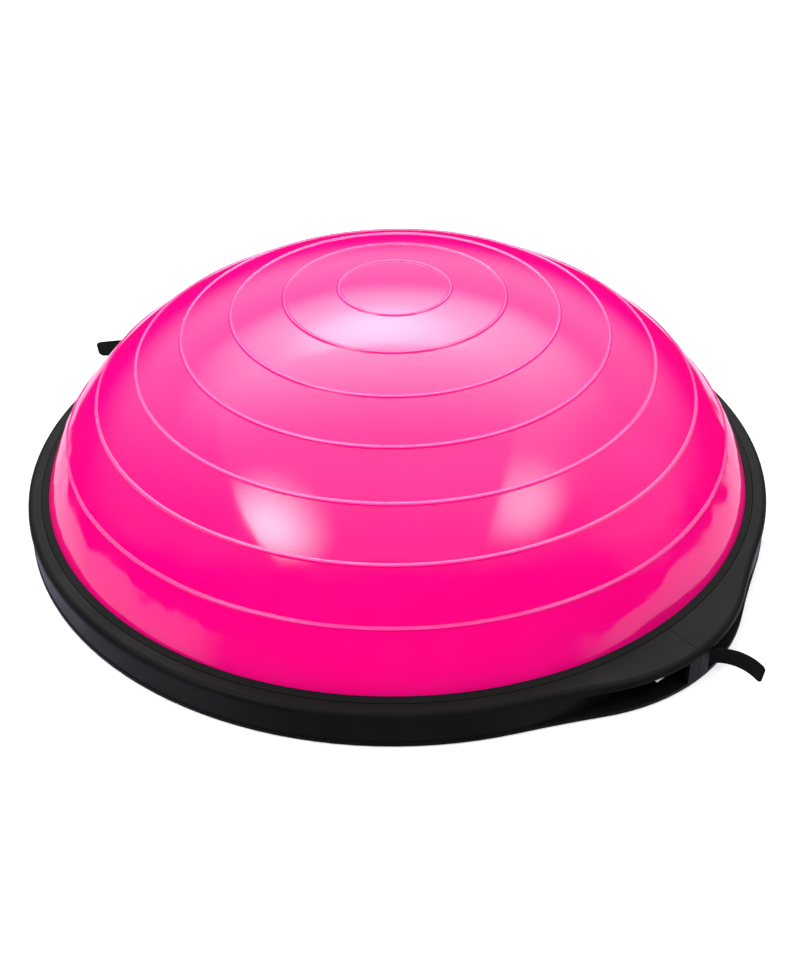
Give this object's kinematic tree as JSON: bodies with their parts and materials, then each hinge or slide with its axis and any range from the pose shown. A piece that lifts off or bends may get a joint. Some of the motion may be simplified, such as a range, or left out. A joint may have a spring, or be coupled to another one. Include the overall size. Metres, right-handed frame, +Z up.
{
  "type": "balance dome trainer",
  "caption": "Inflated dome clamped onto a flat round platform, with finger windows and swinging webbing straps at two opposite handles; stood on for balance exercise.",
  "frame": {"origin": "on the floor, under the middle of the dome", "axes": "+Z up out of the dome's top; X through the two handles; the part repeats when turned half a turn about Z"},
  "size_m": [0.732, 0.6208, 0.2011],
  "materials": {
    "dome_skin": "gloss pink PVC",
    "base_plastic": "satin black plastic",
    "steel": "zinc-plated steel",
    "webbing": "black woven webbing",
    "valve_rubber": "matte black",
    "plug_plastic": "matte dark grey",
    "foot_rubber": "matte black rubber"
  },
  "bodies": {
    "base": {"platform": "base_plastic", "dome": "dome_skin", "bladder_floor": "dome_skin", "clamp_ring": "base_plastic", "rim_front": "base_plastic", "rim_rear": "base_plastic", "rim_screws": "steel", "strap_bolt_left": "steel", "strap_bolt_right": "steel", "valve_seat": "valve_rubber", "foot_1": "foot_rubber", "foot_2": "foot_rubber", "foot_3": "foot_rubber", "foot_4": "foot_rubber", "foot_5": "foot_rubber", "foot_6": "foot_rubber", "foot_7": "foot_rubber", "foot_8": "foot_rubber"},
    "strap_right_body": {"strap_right": "webbing"},
    "strap_left_body": {"strap_left": "webbing"},
    "plug": {"valve_plug": "plug_plastic"}
  },
  "joints": [
    {"name": "strap_right_swing", "type": "hinge", "parent": "base", "child": "strap_right_body", "pos_m": [0.311, 0, 0.0132], "axis": [0, 0, 1], "range_deg": [-2, 38]},
    {"name": "strap_left_swing", "type": "hinge", "parent": "base", "child": "strap_left_body", "pos_m": [-0.311, 0, 0.0132], "axis": [0, 0, 1], "range_deg": [-2, 30]},
    {"name": "plug_pull", "type": "slide", "parent": "base", "child": "plug", "axis": [0, 0, -1], "range_m": [0, 0.012]}
  ]
}
